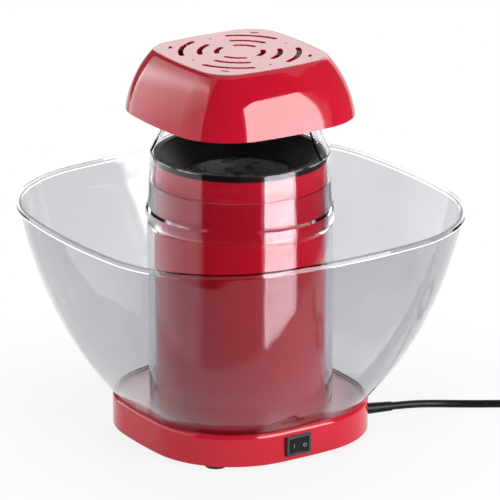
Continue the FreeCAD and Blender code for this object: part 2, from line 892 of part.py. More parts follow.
def make_thermal_guards():
    bodies = []
    body = new_body("thermostat")
    disc = new_sketch(body, "thermostat_disc", "XZ_Plane", -(D.duct_radius + D.fit_gap))
    circle(disc, D.thermostat_radius, 0.0, D.guard_height)
    pad(body, disc, D.thermostat_depth, "thermostat_case", True)
    bodies.append(body)
    x = -(D.duct_radius + D.fit_gap + D.fuse_radius)
    fuse_case = cylinder("thermal_fuse", D.fuse_radius, D.fuse_length, x, 0.0, D.guard_height)
    keep("thermal_fuse", fuse_case)
    return bodies


# Switch

def make_switch():
    wide = D.switch_width / 2
    tall = D.switch_tall / 2
    middle = D.switch_offset
    low, high = D.switch_height - tall, D.switch_height + tall
    body = new_body("switch_housing")
    flange = new_sketch(body, "switch_flange_outline", "XZ_Plane", -switch_front - D.switch_flange)
    rectangle(flange, middle - wide, low, middle + wide, high)
    pad(body, flange, D.switch_flange, "switch_flange_plate")
    inner_wide = wide - D.switch_frame / 2
    inner_tall = tall - D.switch_frame / 2
    case = new_sketch(body, "switch_case", "XZ_Plane", -switch_front - D.switch_flange)
    rectangle(case, middle - inner_wide, D.switch_height - inner_tall,
              middle + inner_wide, D.switch_height + inner_tall)
    pad(body, case, D.switch_body_depth, "switch_case_block", True)
    mouth_wide = wide - D.switch_frame
    mouth_tall = tall - D.switch_frame
    mouth = new_sketch(body, "switch_mouth", "XZ_Plane", -switch_front)
    rectangle(mouth, middle - mouth_wide, D.switch_height - mouth_tall,
              middle + mouth_wide, D.switch_height + mouth_tall)
    pocket(body, mouth, D.switch_pocket_depth, "switch_pocket")
    pivot = new_sketch(body, "switch_pivot", lift=low)
    circle(pivot, D.rocker_pin_radius + D.rocker_pin_gap, middle, rocker_axis_y)
    pocket(body, pivot, D.switch_tall, "switch_pivot_holes", True)
    return body


def make_rocker():
    tall = D.switch_tall / 2 - D.switch_frame - D.rocker_gap
    pin_half = D.switch_tall / 2 - D.switch_frame / 2 - D.rocker_gap
    depth = D.rocker_pivot_depth
    body = new_body("switch_rocker")
    wing = D.rocker_half
    heel = D.rocker_half / 2
    face = new_sketch(body, "rocker_plan", lift=-tall)
    outline(face, [(-wing, -depth - D.rocker_proud), (0.0, -depth - D.rocker_proud + D.rocker_valley),
                   (wing, -depth - D.rocker_proud), (wing, -depth + D.switch_flange),
                   (heel, D.rocker_pin_radius * 2), (-heel, D.rocker_pin_radius * 2),
                   (-wing, -depth + D.switch_flange)])
    pad(body, face, 2 * tall, "rocker_block")
    pins = new_sketch(body, "rocker_pins", lift=-pin_half)
    circle(pins, D.rocker_pin_radius)
    pad(body, pins, 2 * pin_half, "rocker_pin_pad")
    put(body, D.switch_offset, rocker_axis_y, D.switch_height)
    tilt = FreeCAD.Rotation(V(0, 0, 1), -SIZES["rocker_swing_angle"] / 2)
    body.Placement = FreeCAD.Placement(body.Placement.Base, tilt)
    return body


def make_terminals():
    back = switch_front + D.switch_flange + D.switch_body_depth
    blades = []
    for number, side in enumerate((-1, 1), start=1):
        x = D.switch_offset + D.terminal_spacing / 2 * side - D.terminal_thickness / 2
        low = (x, back, D.switch_height - D.terminal_width / 2)
        size = (D.terminal_thickness, D.terminal_length, D.terminal_width)
        blades.append(box(f"terminal_{number}", low, size))
    return group("switch_terminals", blades)


# Bowl

def bowl_station(share):
    """Half width, corner radius and height of the bowl's outside at a share of its side curve."""
    a, b, c = (1 - share) ** 2, 2 * share * (1 - share), share ** 2
    start_half = bowl_foot_half + D.bowl_heel_step
    start_height = bowl_bottom + D.bowl_foot_height
    half = start_half * a + D.bowl_knee_half * b + D.bowl_rim_half * c
    height = start_height * a + D.bowl_knee_height * b + D.bowl_rim_height * c
    start_corner = bowl_foot_corner + D.bowl_heel_step
    corner = start_corner + (D.bowl_rim_corner - start_corner) * \
        ((half - start_half) / (D.bowl_rim_half - start_half))
    return half, corner, height


def make_bowl():
    body = new_body("bowl")
    foot = new_sketch(body, "bowl_foot", lift=bowl_bottom)
    bowed_square(foot, bowl_foot_half, bowl_foot_corner, D.bowl_bow)
    pad(body, foot, D.bowl_foot_height, "bowl_foot_pad")
    stations = [0.0, 0.25, 0.5, 0.75, 1.0]
    outside = []
    for number, share in enumerate(stations):
        half, corner, height = bowl_station(share)
        sketch = new_sketch(body, f"bowl_outside_{number}", lift=height)
        bowed_square(sketch, half, corner, D.bowl_bow)
        outside.append(sketch)
    loft(body, outside, "bowl_outside")
    bead = new_sketch(body, "bowl_bead", lift=D.bowl_rim_height)
    bowed_square(bead, D.bowl_rim_half + D.bead_width, D.bowl_rim_corner + D.bead_width, D.bowl_bow)
    pad(body, bead, D.bead_height, "bowl_bead_pad", True)
    inside = []
    for number, share in enumerate(stations):
        half, corner, height = bowl_station(share)
        sketch = new_sketch(body, f"bowl_inside_{number}", lift=height)
        bowed_square(sketch, half - D.bowl_wall, corner - D.bowl_wall, D.bowl_bow - D.bowl_wall)
        inside.append(sketch)
    loft(body, inside, "bowl_inside", True)
    well = new_sketch(body, "bowl_well", lift=bowl_bottom + D.bowl_foot_height)
    bowed_square(well, bowl_foot_half - D.bowl_wall, bowl_foot_corner - D.bowl_wall,
                 D.bowl_bow - D.bowl_wall)
    pocket(body, well, D.bowl_foot_height - D.bowl_floor, "bowl_well_cut")
    opening = new_sketch(body, "tower_opening", lift=bowl_bottom + D.bowl_floor)
    circle(opening, tube_bore)
    pocket(body, opening, D.bowl_floor, "tower_opening_cut")
    tube = new_sketch(body, "bowl_tube", "XZ_Plane")
    outline(tube, [
        (tube_bore, bowl_bottom), (D.tube_radius, bowl_bottom), (D.tube_radius, D.shoulder_height),
        (D.spigot_radius, D.shoulder_height), (D.spigot_radius, spigot_top),
        (spigot_bore, spigot_top), (spigot_bore, D.shoulder_height - D.tube_wall),
        (tube_bore, D.shoulder_height - 2 * D.tube_wall)])
    revolve(body, tube, "bowl_tube_turn")
    return body


# Lid: clear chute sleeve and red vented cap

def make_sleeve():
    low = D.shoulder_height + D.fit_gap
    ring_top = low + D.sleeve_ring_height
    wall = D.sleeve_wall
    body = turned("chute_sleeve", [
        (sleeve_bore, low), (D.sleeve_ring_radius, low),
        (D.sleeve_ring_radius, ring_top - D.sleeve_ring_chamfer),
        (sleeve_bore + wall, ring_top), (D.sleeve_top_radius, D.window_sill),
        (D.post_waist_radius, D.post_waist_height), (D.post_neck_radius, D.lid_bottom),
        (D.post_neck_radius, lid_ceiling), (D.post_neck_radius - wall, lid_ceiling),
        (D.post_neck_radius - wall, D.lid_bottom), (D.post_waist_radius - wall, D.post_waist_height),
        (D.sleeve_top_radius - wall, D.window_sill), (sleeve_bore, spigot_top + D.fit_gap)])
    far = 2 * D.sleeve_ring_radius
    side = 45.0 - D.post_half_angle
    window = new_sketch(body, "chute_window", lift=D.window_sill)
    outline(window, [(0.0, 0.0), (far * cosine(side), -far * sine(side)), (far * 1.5, 0.0),
                     (far * cosine(side), far * sine(side))])
    first = pocket(body, window, D.lid_top - D.window_sill, "chute_window_cut", True)
    polar(body, first, 4, "chute_windows")
    tab = new_sketch(body, "hook_tab", lift=lid_ceiling)
    corners = []
    for radial, across in ((-1, -1), (1, -1), (1, 1), (-1, 1)):
        r = D.hook_circle + D.tab_thickness / 2 * radial
        t = D.tab_width / 2 * across
        corners.append(((r - t) * diagonal, (r + t) * diagonal))
    outline(tab, corners)
    first_tab = pad(body, tab, D.lid_wall / 2, "hook_tab_pad")
    polar(body, first_tab, 4, "hook_tabs")
    return body


def make_lid_cap():
    body = new_body("lid_cap")
    path = new_sketch(body, "lid_path", lift=D.lid_bottom)
    bowed_square(path, D.lid_half, D.lid_corner, D.lid_bow)
    wall = D.lid_wall
    shoulder_height = D.lid_top - D.lid_edge_drop
    rim = D.lid_half
    shoulder = rim - D.lid_shoulder_inset
    edge = rim - D.lid_edge_inset
    flat = edge - D.lid_roof_inset
    section = new_sketch(body, "lid_section", "XZ_Plane")
    outline(section, [
        (rim, D.lid_bottom, D.lid_side_curve),
        (shoulder, shoulder_height, D.lid_edge_curve),
        (edge, D.lid_top), (flat, D.lid_top), (flat, D.lid_top - wall),
        (edge, D.lid_top - wall, -(D.lid_edge_curve - wall / 2)),
        (shoulder - wall, shoulder_height, -(D.lid_side_curve - wall)),
        (rim - wall, D.lid_bottom)])
    shell = body.newObject("PartDesign::AdditivePipe", "lid_shell")
    shell.Profile = section
    shell.Spine = (path, [])
    roof = new_sketch(body, "lid_roof", lift=D.lid_top)
    inset = D.lid_edge_inset + D.lid_roof_inset - D.lid_roof_lap
    bowed_square(roof, rim - inset, D.lid_corner - inset, D.lid_bow - inset)
    pad(body, roof, wall, "lid_roof_plate", True)
    vents = new_sketch(body, "vent_slots", lift=D.lid_top)
    for middle in (D.vent_outer, D.vent_middle, D.vent_inner):
        arc_slot(vents, middle, D.vent_width, 45.0, D.vent_span_angle / 2)
    gap = D.hook_slot_gap / 2
    corners = []
    for radial, across in ((-1, -1), (1, -1), (1, 1), (-1, 1)):
        r = D.hook_circle + (D.tab_thickness / 2 + gap) * radial
        t = (D.tab_width / 2 + gap) * across
        corners.append(((r - t) * diagonal, (r + t) * diagonal))
    outline(vents, corners)
    circle(vents, D.drip_hole_radius, D.drip_hole_circle, 0.0)
    first = pocket(body, vents, wall, "vent_cut")
    polar(body, first, 4, "vent_pattern")
    return body


# Mains lead: gland, cord, coil, tie and plug

def make_gland():
    body = turned("cord_gland", [
        (0.0, -D.gland_tail), (D.gland_radius, -D.gland_tail), (D.gland_radius, D.fit_gap),
        (D.gland_flange, D.fit_gap), (D.gland_flange, D.fit_gap + D.gland_flange_depth),
        (D.gland_tip, D.gland_length), (0.0, D.gland_length)])
    point_along_exit(body, 0.0)
    return body


def biarc(start, heading, end, leaving):
    """Two tangent arcs from start to end, each with its given direction."""
    chord = end - start
    total = heading + leaving
    spread = 2 * (1 - heading.dot(leaving))
    along = chord.dot(total)
    if spread < 1e-9:
        reach = chord.dot(chord) / (4 * chord.dot(leaving))
    else:
        reach = (-along + math.sqrt(along * along + spread * chord.dot(chord))) / spread
    middle = (start + end + (heading - leaving) * reach) * 0.5
    return [arc_from(start, heading, middle), arc_back(middle, end, leaving)]


def arc_from(start, heading, end):
    chord = end - start
    along = heading.dot(chord.normalize())
    side = heading - chord * along
    span = (end - start).Length
    if side.Length < 1e-7:
        return Part.LineSegment(start, end)
    angle = math.acos(max(-1.0, min(1.0, along)))
    rise = span / 2 * math.tan(angle / 2)
    return Part.Arc(start, (start + end) * 0.5 + side.normalize() * rise, end)


def arc_back(start, end, leaving):
    """The arc from start that arrives at end in the leaving direction."""
    mirrored = arc_from(end, leaving * -1, start)
    if isinstance(mirrored, Part.LineSegment):
        return Part.LineSegment(start, end)
    return Part.Arc(start, mirrored.value((mirrored.FirstParameter + mirrored.LastParameter) / 2), end)


def rounded_path(points, radius_share=0.45):
    """Straight runs joined by tangent arcs, each arc as large as its two runs allow."""
    edges = []
    radii = []
    here = points[0]
    for before, corner, after in zip(points, points[1:], points[2:]):
        way_in = (corner - before).normalize()
        way_out = (after - corner).normalize()
        turn = math.acos(max(-1.0, min(1.0, way_in.dot(way_out))))
        trim = radius_share * min((corner - before).Length, (after - corner).Length)
        radii.append(trim / math.tan(turn / 2))
        a, b = corner - way_in * trim, corner + way_out * trim
        bisector = (way_out - way_in).normalize()
        sagitta = radii[-1] * (1 / math.cos(turn / 2) - 1)
        edges.append(Part.LineSegment(here, a).toShape())
        edges.append(Part.Arc(a, corner + bisector * sagitta, b).toShape())
        here = b
    edges.append(Part.LineSegment(here, points[-1]).toShape())
    return Part.Wire(edges), radii


def tube_along(wire, radius):
    """A round solid along a wire, with its volume compared with section times length."""
    edge = wire.OrderedEdges[0]
    start = edge.valueAt(edge.FirstParameter)
    heading = edge.tangentAt(edge.FirstParameter)
    ring = Part.Wire([Part.Circle(start, heading, radius).toShape()])
    solid = wire.makePipeShell([ring], True, False)
    expected = math.pi * radius * radius * wire.Length
    if abs(solid.Volume / expected - 1) > 0.02:
        raise ValueError("the tube's volume does not follow from its length")
    return solid


def feature_of(label, shape):
    made = doc.addObject("Part::Feature", label)
    made.Shape = shape
    made.Label = label
    nodes[label] = made
    return made


def make_cord():
    start, heading = coil_station(0.0)
    tip = V(*(float(c) for c in exit_point(D.gland_length)))
    past_tip = V(*(float(c) for c in exit_point(D.gland_length + CORD_LEAD_OUT)))
    points = [tip, past_tip] + [V(*p) for p in CORD_ROUTE] + [start - heading * CORD_LEAD_IN, start]
    wire, radii = rounded_path(points)
    print("cord radii", [round(r, 1) for r in radii], "length", round(wire.Length, 1))
    feature_of("power_cord", tube_along(wire, SIZES["cord_radius"]))
    return wire.Length


def coil_station(turn):
    """Place and direction on the coil after a number of turns: in, up a layer, and out again."""
    outer = SIZES["coil_middle"] + SIZES["coil_step"]
    step = SIZES["coil_step"]
    climb = min(max((turn - TURNS_IN) / 0.5, 0.0), 1.0)
    inward = min(turn, TURNS_IN)
    outward = max(turn - TURNS_IN - 0.5, 0.0)
    radius = outer - step * inward + step * outward
    slope = 0.0
    if turn < TURNS_IN:
        slope = -step
    elif turn > TURNS_IN + 0.5:
        slope = step
    angle = math.radians(COIL_START_ANGLE) + 2 * math.pi * turn
    rise = SIZES["coil_layer"] * (1 - math.cos(math.pi * climb)) / 2
    rate = 0.0
    if 0.0 < climb < 1.0:
        rate = SIZES["coil_layer"] * math.pi * math.sin(math.pi * climb)
    out = V(math.cos(angle), math.sin(angle), 0)
    around = V(-math.sin(angle), math.cos(angle), 0)
    place = V(COIL_CENTRE[0], COIL_CENTRE[1], SIZES["coil_lift"] + rise) + out * radius
    heading = around * (2 * math.pi * radius) + out * slope + V(0, 0, rate)
    return place, heading.normalize()


def make_coil():
    quarters = int(round((TURNS_IN + 0.5 + TURNS_OUT) * 4))
    edges = []
    for quarter in range(quarters):
        start, heading = coil_station(quarter / 4)
        end, leaving = coil_station((quarter + 1) / 4)
        for curve in biarc(start, heading, end, leaving):
            edges.append(curve.toShape())
    end, leaving = coil_station(quarters / 4)
    edges.append(Part.LineSegment(end, end + leaving * SIZES["coil_tail"]).toShape())
    wire = Part.Wire(edges)
    feature_of("cord_coil", tube_along(wire, SIZES["cord_radius"]))
    print("coil length", round(wire.Length, 1), "least gap", round(least_gap(wire), 2))
    return wire.Length


def least_gap(wire):
    """Smallest clear space between stretches of one tube that are a third of a turn or more apart."""
    points = wire.discretize(Distance=2.0)
    apart = int(2 * math.pi * SIZES["coil_middle"] / 3 / 2.0)
    nearest = 1e9
    for i, a in enumerate(points):
        for b in points[i + apart:]:
            nearest = min(nearest, (a - b).Length)
    return nearest - 2 * SIZES["cord_radius"]


def make_tie():
    """A flat strap round the bundle of turns, on the coil's far side."""
    angle = COIL_START_ANGLE - 180.0 + 60.0
    radius = SIZES["cord_radius"]
    gap = SIZES["tie_gap"]
    wall = SIZES["tie_wall"]
    reach = SIZES["coil_step"] + radius + gap
    low = SIZES["coil_lift"] - radius - gap
    high = SIZES["coil_lift"] + SIZES["coil_layer"] + radius + gap
    wide = SIZES["tie_width"]
    outer = Part.makeBox(2 * reach + 2 * wall, wide, high - low + 2 * wall,
                         V(-reach - wall, -wide / 2, low - wall))
    inner = Part.makeBox(2 * reach, wide, high - low, V(-reach, -wide / 2, low))
    strap = outer.cut(inner)
    middle = V(COIL_CENTRE[0], COIL_CENTRE[1], 0)
    out = V(math.cos(math.radians(angle)), math.sin(math.radians(angle)), 0)
    made = feature_of("coil_tie", strap)
    place = middle + out * SIZES["coil_middle"]
    made.Placement = FreeCAD.Placement(place, FreeCAD.Rotation(V(0, 0, 1), angle))
    return made


def plug_placement():
    """The plug lies flat, in line with the coil's tail."""
    end, leaving = coil_station(TURNS_IN + 0.5 + TURNS_OUT)
    place = end + leaving * SIZES["coil_tail"]
    angle = math.degrees(math.atan2(leaving.y, leaving.x))
    return FreeCAD.Placement(place, FreeCAD.Rotation(V(0, 0, 1), angle))


def make_plug():
    body = new_body("plug_body")
    plan = new_sketch(body, "plug_plan", lift=-D.plug_half_thick)
    front = D.plug_neck + D.plug_length
    waist = D.plug_neck + D.plug_shoulder
    outline(plan, [
        (D.plug_neck, -D.plug_neck_radius), (waist, -D.plug_half_width), (front, -D.plug_half_width),
        (front, D.plug_half_width), (waist, D.plug_half_width), (D.plug_neck, D.plug_neck_radius)])
    block = pad(body, plan, 2 * D.plug_half_thick, "plug_block")
    doc.recompute()
    soft = body.newObject("PartDesign::Fillet", "plug_soft_edges")
    soft.Base = (block, upright_edges(block.Shape))
    bind(soft, "Radius", D.plug_edge_round)
    neck = new_sketch(body, "plug_neck_profile", "XY_Plane")
    outline(neck, [(0.0, 0.0), (D.plug_neck + D.plug_neck_radius, 0.0),
                   (D.plug_neck + D.plug_neck_radius, D.plug_neck_radius),
                   (0.0, D.cord_radius + D.plug_neck_wall)])
    turn = body.newObject("PartDesign::Revolution", "plug_neck_turn")
    turn.Profile = neck
    turn.ReferenceAxis = (neck, ["H_Axis"])
    turn.Angle = 360.0
    body.Placement = plug_placement()
    return body


def upright_edges(shape):
    names = []
    for index, edge in enumerate(shape.Edges, start=1):
        a, b = edge.Vertexes[0].Point, edge.Vertexes[-1].Point
        if abs(a.x - b.x) < 1e-6 and abs(a.y - b.y) < 1e-6:
            names.append(f"Edge{index}")
    return names


def make_pins():
    pins = []
    front = D.plug_neck + D.plug_length
    for number, side in enumerate((1, -1), start=1):
        body = doc.addObject("PartDesign::Body", f"plug_pin_{number}")
        rod = new_sketch(body, f"plug_pin_section_{number}", "YZ_Plane", front)
        circle(rod, D.pin_radius, D.pin_spacing / 2 * side, 0.0)
        pad(body, rod, D.pin_length, f"plug_pin_rod_{number}")
        body.Placement = plug_placement()
        pins.append(body)
    return group("plug_pins", pins)


def make_element():
    """The heating element, one tube wound round the former."""
    radius = SIZES["element_radius"]
    pitch = SIZES["element_pitch"]
    former_floor = SIZES["shroud_top"] + SIZES["duct_wall"] + SIZES["former_foot_height"]
    low = former_floor + SIZES["element_tube"] + SIZES["element_foot_gap"]
    edges = []
    for quarter in range(SIZES["element_turns_count"] * 4):
        ends = []
        for step in (quarter, quarter + 1):
            angle = math.pi / 2 * step
            place = V(radius * math.cos(angle), radius * math.sin(angle), low + pitch * step / 4)
            heading = V(-math.sin(angle), math.cos(angle), pitch / (2 * math.pi * radius)).normalize()
            ends += [place, heading]
        for curve in biarc(*ends):
            edges.append(curve.toShape())
    wire = Part.Wire(edges)
    feature_of("heater_coil", tube_along(wire, SIZES["element_tube"]))
    print("element gap", round(pitch - 2 * SIZES["element_tube"], 2))


def build():
    make_base_housing()
    make_bottom_cover()
    make_feet()
    make_cover_screws()
    make_tower()
    make_tower_screws()
    make_collar()
    make_chamber()
    make_duct()
    make_shroud()
    make_heater_former()
    make_element()
    make_motor()
    make_motor_screws()
    make_shaft()
    make_fan()
    make_board()
    make_thermal_guards()
    make_switch()
    make_rocker()
    make_terminals()
    make_bowl()
    make_sleeve()
    make_lid_cap()
    make_gland()
    length = make_cord()
    length += make_coil()
    make_tie()
    make_plug()
    make_pins()
    doc.recompute()
    print("cord length outside the base", round(length, 1))


def check():
    """Stops where any object failed or a piece is not a valid solid."""
    faults = [obj.Label for obj in doc.Objects if {"Invalid", "Error"} & set(obj.State)]
    for label, obj in nodes.items():
        shape = obj.Shape
        if shape.isNull() or not shape.isValid() or not shape.Solids:
            faults.append(f"solid of {label}")
    if faults:
        raise RuntimeError("failed: " + ", ".join(faults))


def export():
    os.makedirs("parts", exist_ok=True)
    for label, obj in nodes.items():
        obj.Shape.exportStep(f"parts/{label}.step")


build()
check()
export()
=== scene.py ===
"""Hot-air popcorn maker: finishes, mains lead, switch marks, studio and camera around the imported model."""
import math

import bmesh
import bpy
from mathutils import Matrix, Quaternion, Vector
from mathutils.bvhtree import BVHTree


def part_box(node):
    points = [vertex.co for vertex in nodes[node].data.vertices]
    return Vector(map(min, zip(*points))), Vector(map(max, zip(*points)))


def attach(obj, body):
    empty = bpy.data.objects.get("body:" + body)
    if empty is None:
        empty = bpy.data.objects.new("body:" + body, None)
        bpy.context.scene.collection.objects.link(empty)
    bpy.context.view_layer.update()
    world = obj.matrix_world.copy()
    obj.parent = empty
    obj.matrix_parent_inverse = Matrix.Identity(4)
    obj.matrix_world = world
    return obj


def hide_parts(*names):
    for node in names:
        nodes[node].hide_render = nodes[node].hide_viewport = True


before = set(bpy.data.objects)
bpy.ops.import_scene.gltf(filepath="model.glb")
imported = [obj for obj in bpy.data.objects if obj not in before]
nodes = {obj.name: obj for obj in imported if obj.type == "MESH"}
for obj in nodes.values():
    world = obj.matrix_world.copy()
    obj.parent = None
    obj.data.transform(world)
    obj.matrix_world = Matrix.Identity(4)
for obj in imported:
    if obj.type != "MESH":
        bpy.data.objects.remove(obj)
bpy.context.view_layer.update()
scene = bpy.context.scene
MM = 0.001
CORNERS = ((-1, -1), (1, -1), (1, 1), (-1, 1))


# Camera: a long lens, high at the front left, aimed at the middle of the machine. Distances in metres

VIEW_ANGLE = math.radians(-33.0)
CAMERA_DISTANCE = 3.0264
CAMERA_HEIGHT = 1.1574
AIM_HEIGHT = 0.1391
AIM_ASIDE = 0.0074
LENS_MM = 308.0
SENSOR_MM = 36.0
FAR_CLIP = 50.0

across = Vector((math.cos(VIEW_ANGLE), math.sin(VIEW_ANGLE), 0.0))
to_camera = Vector((math.sin(VIEW_ANGLE), -math.cos(VIEW_ANGLE), 0.0))
aim = across * AIM_ASIDE + Vector((0.0, 0.0, AIM_HEIGHT))

camera_data = bpy.data.cameras.new("camera")
camera_data.lens = LENS_MM
camera_data.sensor_width = SENSOR_MM
camera_data.clip_end = FAR_CLIP
camera = bpy.data.objects.new("camera", camera_data)
scene.collection.objects.link(camera)
camera.location = to_camera * CAMERA_DISTANCE + Vector((0.0, 0.0, CAMERA_HEIGHT))
camera.rotation_euler = (aim - camera.location).to_track_quat("-Z", "Y").to_euler()
scene.camera = camera


# Finishes

TINT_STOPS = (0.35, 0.65)
PATCH_DETAIL = 3.0
GRAIN_DETAIL = 2.0
CLEAR_IOR = 1.3
TUBE_MM = 72
WALL_MM = 84
WHITE = "#ffffff"


def colour(text):
    """Linear colour of an sRGB hex value."""
    parts = [int(text[i:i + 2], 16) / 255 for i in (1, 3, 5)]
    return [c / 12.92 if c <= 0.04045 else ((c + 0.055) / 1.055) ** 2.4 for c in parts] + [1.0]


def add(tree, kind, settings, **links):
    """One node with its settings, linked from the given outputs."""
    made = tree.nodes.new(kind)
    for name, value in settings.items():
        if name in made.inputs:
            made.inputs[name].default_value = value
        else:
            setattr(made, name, value)
    for name, source in links.items():
        tree.links.new(source, made.inputs[name.replace("_", " ")])
    return made


def surface(name, dark, light, patch_mm, rough, grain_mm, relief_mm, stretch=(1, 1, 1), **shader):
    """A surface whose colour and gloss drift over patches and whose grain stands up by a real relief."""
    made = bpy.data.materials.new(name)
    made.use_nodes = True
    tree = made.node_tree
    tree.nodes.clear()
    place = add(tree, "ShaderNodeTexCoord", {})
    fitted = add(tree, "ShaderNodeMapping", {"Scale": stretch}, Vector=place.outputs["Object"])
    patches = add(tree, "ShaderNodeTexNoise", {"Scale": 1 / (patch_mm * MM), "Detail": PATCH_DETAIL},
                  Vector=fitted.outputs["Vector"])
    tint = add(tree, "ShaderNodeValToRGB", {}, Fac=patches.outputs["Fac"])
    for stop, text, at in zip(tint.color_ramp.elements, (dark, light), TINT_STOPS):
        stop.color = colour(text)
        stop.position = at
    gloss = add(tree, "ShaderNodeMapRange", {"To Min": rough[0], "To Max": rough[1]},
                Value=patches.outputs["Fac"])
    grain = add(tree, "ShaderNodeTexNoise", {"Scale": 1 / (grain_mm * MM), "Detail": GRAIN_DETAIL},
                Vector=fitted.outputs["Vector"])
    relief = add(tree, "ShaderNodeBump", {"Strength": 1.0, "Distance": relief_mm * MM},
                 Height=grain.outputs["Fac"])
    body = add(tree, "ShaderNodeBsdfPrincipled", shader, Base_Color=tint.outputs["Color"],
               Roughness=gloss.outputs["Result"], Normal=relief.outputs["Normal"])
    add(tree, "ShaderNodeOutputMaterial", {}, Surface=body.outputs["BSDF"])
    return made


def painted_light_clear_inside(smoky, text, inner_mm, outer_mm):
    """Painted light: a smoky piece turns to a clearer colour near the machine's axis, so what stands behind
    its inner part shows brighter, as if more light fell on it.
    """
    tree = smoky.node_tree
    tint = next(n for n in tree.nodes if n.type == "VALTORGB")
    body = next(n for n in tree.nodes if n.type == "BSDF_PRINCIPLED")
    place = add(tree, "ShaderNodeTexCoord", {})
    flat = add(tree, "ShaderNodeVectorMath", {"operation": "MULTIPLY"})
    tree.links.new(place.outputs["Object"], flat.inputs[0])
    flat.inputs[1].default_value = (1.0, 1.0, 0.0)
    reach = add(tree, "ShaderNodeVectorMath", {"operation": "LENGTH"}, Vector=flat.outputs["Vector"])
    share = add(tree, "ShaderNodeMapRange", {"From Min": inner_mm * MM, "From Max": outer_mm * MM},
                Value=reach.outputs["Value"])
    blend = add(tree, "ShaderNodeMixRGB", {"Color1": colour(text)}, Fac=share.outputs["Result"],
                Color2=tint.outputs["Color"])
    tree.links.new(blend.outputs["Color"], body.inputs["Base Color"])


def let_light_through(clear):
    """Light falls through a clear wall on what stands behind it."""
    tree = clear.node_tree
    out = next(n for n in tree.nodes if n.type == "OUTPUT_MATERIAL")
    body = next(n for n in tree.nodes if n.type == "BSDF_PRINCIPLED")
    path = add(tree, "ShaderNodeLightPath", {})
    open_way = add(tree, "ShaderNodeBsdfTransparent", {"Color": colour(WHITE)})
    both = add(tree, "ShaderNodeMixShader", {}, Fac=path.outputs["Is Shadow Ray"])
    tree.links.new(body.outputs["BSDF"], both.inputs[1])
    tree.links.new(open_way.outputs["BSDF"], both.inputs[2])
    tree.links.new(both.outputs["Shader"], out.inputs["Surface"])


# Red ABS from a polished mould: deep even red under a clean gloss with a faint long-wave ripple
red_abs = surface("abs_red_polished", "#b9122a", "#c2152e", 60, (0.04, 0.08), 14, 0.006, IOR=1.5,
                  **{"Specular IOR Level": 0.35})
# Clear styrene-acrylonitrile of the bowl, moulded: faintly smoky with slow flow ripples, and painted clearer
# at the inner tube than at the outer wall.
# That is painted light, which makes the tower seen through the tube show brighter. The walls are thin and
# mirror little, so the IOR is matched low
bowl_san = surface("san_smoky_moulded", "#d4d3d7", "#dad9dd", 80, (0.02, 0.04), 24, 0.012,
                   IOR=CLEAR_IOR, **{"Transmission Weight": 1.0})
# Painted light: the bowl's tint clears towards the axis, so the tower behind the inner tube shows brighter
painted_light_clear_inside(bowl_san, "#f6f6f8", TUBE_MM, WALL_MM)
let_light_through(bowl_san)
# Clear polycarbonate of the chute, moulded: clearer than the bowl, with the same slow ripples
chute_pc = surface("polycarbonate_clear_moulded", "#f3f3f5", "#f8f8fa", 80, (0.02, 0.04), 24, 0.012,
                   IOR=CLEAR_IOR, **{"Transmission Weight": 1.0})
let_light_through(chute_pc)
# Black polypropylene with a spark-eroded grain of about 0.6 mm: soft broad sheen
black_pp = surface("polypropylene_black_grained", "#0a090b", "#100f11", 20, (0.44, 0.56), 0.6, 0.012,
                   IOR=1.49, **{"Specular IOR Level": 0.1})
# Black polyamide of the switch frame, lightly grained: grey where the light falls along it
frame_pa = surface("polyamide_grey_black", "#25262a", "#2e2f34", 8, (0.34, 0.44), 0.5, 0.008, IOR=1.53,
                   **{"Specular IOR Level": 0.3})
# Black polycarbonate of the rocker, polished
rocker_pc = surface("polycarbonate_black_polished", "#08080a", "#0d0d10", 8, (0.16, 0.24), 4, 0.004,
                    IOR=1.58, **{"Specular IOR Level": 0.2})
# Soft PVC, extruded: dark with a silky band of light along it and faint die lines
cord_pvc = surface("pvc_black_extruded", "#0c0c0e", "#121215", 9, (0.30, 0.40), 1.2, 0.003, IOR=1.54,
                   **{"Specular IOR Level": 0.12})
# Nitrile rubber, moulded: dead matt and a little dusty
foot_rubber = surface("nitrile_rubber_moulded", "#151515", "#202020", 5, (0.70, 0.85), 0.5, 0.02, IOR=1.52)
# Aluminium, deep drawn and brushed round: fine lines that run round the wall, drawn 1 mm apart to show
drawn_alu = surface("aluminium_drawn", "#c6c8cc", "#d4d6d9", 12, (0.22, 0.34), 3, 0.02, (1, 1, 3),
                    Metallic=1.0)
# Aluminium sheet, mill finish
mill_alu = surface("aluminium_mill", "#b3b5b8", "#c2c4c7", 15, (0.35, 0.48), 2, 0.01, (1, 1, 0.2),
                   Metallic=1.0)
# Steel, zinc plated: bright grey with faint bluish patches
zinc_steel = surface("steel_zinc_plated", "#a9adb3", "#bcbfc2", 3, (0.25, 0.38), 0.5, 0.004, Metallic=1.0)
# Resistance alloy, oxidised by heat: brownish grey
heater_alloy = surface("nickel_chrome_oxidised", "#54473f", "#6b625c", 4, (0.45, 0.60), 0.6, 0.01,
                       Metallic=1.0)
# Mica board, pressed flakes
mica_board = surface("mica_board_pressed", "#8f7c5a", "#b7a684", 3, (0.40, 0.60), 1.5, 0.02, IOR=1.58)
# Phenolic paper board, punched
paper_board = surface("phenolic_paper_punched", "#6d5224", "#80622f", 4, (0.45, 0.55), 0.6, 0.01, IOR=1.6)
# Phenolic moulding of the thermostat
phenolic = surface("phenolic_moulded", "#1d1815", "#28211d", 4, (0.40, 0.55), 0.6, 0.01, IOR=1.6)
# Glass-filled nylon, natural colour
nylon = surface("nylon_glass_filled", "#d8d4c8", "#e2dfd5", 6, (0.45, 0.60), 0.7, 0.012, IOR=1.53)
# Brass, nickel plated
plated_brass = surface("brass_nickel_plated", "#cfcabd", "#dad6ca", 4, (0.16, 0.26), 0.8, 0.004,
                       Metallic=1.0)
# Grey pad-printing ink of the switch signs
grey_ink = surface("ink_grey_printed", "#74767c", "#808288", 1, (0.45, 0.55), 0.4, 0.004, IOR=1.5)

